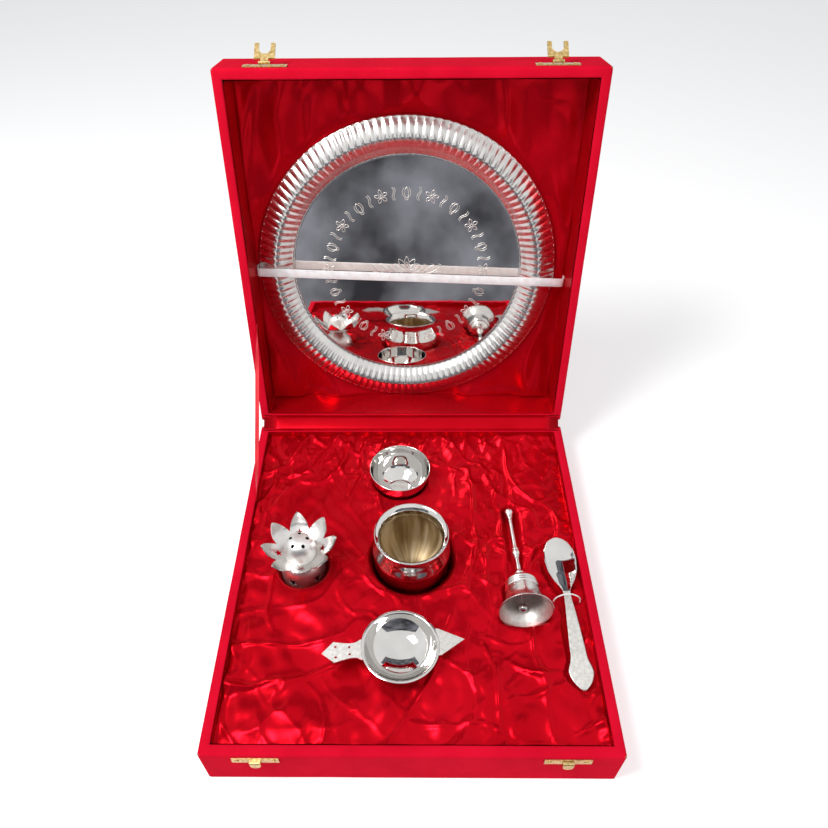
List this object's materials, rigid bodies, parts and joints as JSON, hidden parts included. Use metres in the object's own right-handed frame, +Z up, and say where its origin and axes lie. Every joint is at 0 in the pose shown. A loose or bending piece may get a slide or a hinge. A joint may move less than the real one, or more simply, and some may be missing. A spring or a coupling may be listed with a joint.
{
  "type": "puja thali set",
  "caption": "Boxed ritual set: hinged velvet case with a fluted round thali held in the lid and lota, bowl, diya, incense stand, bell and spoon bedded in satin.",
  "frame": {"origin": "centre of the underside of the case's base", "axes": "+X to the right, +Y to the back where the lid is hinged, +Z up"},
  "size_m": [0.288, 0.4096, 0.3585],
  "materials": {
    "velvet": "short red velvet pile",
    "satin": "glossy red satin",
    "foam": "soft foam",
    "board": "raw fibreboard",
    "elastic": "white elastic",
    "ribbon": "red ribbon",
    "brass": "polished stamped brass",
    "silver_plate": "bright silver plate",
    "silver_matte": "matte textured silver plate"
  },
  "bodies": {
    "base": {"base_bottom_board": "board", "base_front_wall": "board", "base_back_wall": "board", "base_left_wall": "board", "base_right_wall": "board", "base_velvet_cover": "velvet", "insert_bed": "foam", "base_satin_lining": "satin", "hinge_base_leaves": "brass", "hinge_pins": "brass", "hinge_base_nails": "brass", "catch_left_plate": "brass", "catch_right_plate": "brass", "catch_nails": "brass", "spoon_tie": "elastic", "ribbon_stay": "ribbon", "hinge_lining_strip": "satin"},
    "lid": {"lid_panel_board": "board", "lid_front_wall": "board", "lid_back_wall": "board", "lid_left_wall": "board", "lid_right_wall": "board", "lid_velvet_cover": "velvet", "lid_satin_lining": "satin", "hinge_lid_leaves": "brass", "hinge_lid_nails": "brass", "latch_left_plate": "brass", "latch_right_plate": "brass", "latch_pins": "brass", "latch_nails": "brass", "elastic_band": "elastic"},
    "left_latch": {"latch_left_lever": "brass"},
    "right_latch": {"latch_right_lever": "brass"},
    "thali": {"thali_plate": "silver_plate"},
    "bowl": {"small_bowl": "silver_plate"},
    "lota": {"lota": "silver_plate"},
    "diya": {"diya_bowl": "silver_plate", "diya_handle": "silver_matte", "diya_spout": "silver_matte"},
    "incense_stand": {"incense_foot": "silver_plate", "lotus_cup": "silver_plate", "incense_dome": "silver_plate", "incense_rivet": "silver_plate"},
    "bell": {"bell_body": "silver_plate", "bell_handle": "silver_plate", "clapper_staple": "silver_plate"},
    "clapper": {"bell_clapper": "silver_plate"},
    "spoon": {"spoon": "silver_plate"}
  },
  "joints": [
    {"name": "lid_hinge", "type": "hinge", "parent": "base", "child": "lid", "pos_m": [0, 0.1564, 0.0425], "axis": [-1, 0, 0], "range_deg": [-100, 0], "deforming": ["ribbon_stay", "hinge_lining_strip"]},
    {"name": "left_latch_turn", "type": "hinge", "parent": "lid", "child": "left_latch", "pos_m": [-0.105, 0.21617, 0.34979], "axis": [-1, 0, 0], "range_deg": [-139, 21]},
    {"name": "right_latch_turn", "type": "hinge", "parent": "lid", "child": "right_latch", "pos_m": [0.105, 0.21617, 0.34979], "axis": [-1, 0, 0], "range_deg": [-139, 21]},
    {"name": "thali_lift", "type": "slide", "parent": "lid", "child": "thali", "axis": [0, -0.9848, 0.1736], "range_m": [0, 0.07], "deforming": ["elastic_band"]},
    {"name": "bowl_lift", "type": "slide", "parent": "base", "child": "bowl", "axis": [0, 0, 1], "range_m": [0, 0.06]},
    {"name": "lota_lift", "type": "slide", "parent": "base", "child": "lota", "axis": [0, 0, 1], "range_m": [0, 0.08]},
    {"name": "diya_lift", "type": "slide", "parent": "base", "child": "diya", "axis": [0, 0, 1], "range_m": [0, 0.05]},
    {"name": "incense_lift", "type": "slide", "parent": "base", "child": "incense_stand", "axis": [0, 0, 1], "range_m": [0, 0.07]},
    {"name": "bell_lift", "type": "slide", "parent": "base", "child": "bell", "axis": [0, 0, 1], "range_m": [0, 0.06]},
    {"name": "clapper_swing", "type": "hinge", "parent": "bell", "child": "clapper", "pos_m": [0.08702, -0.02102, 0.04257], "axis": [-0.9998, -0.0175, 0], "range_deg": [0, 58]},
    {"name": "spoon_lift", "type": "slide", "parent": "base", "child": "spoon", "axis": [0, 0, 1], "range_m": [0, 0.04], "deforming": ["spoon_tie"]}
  ]
}
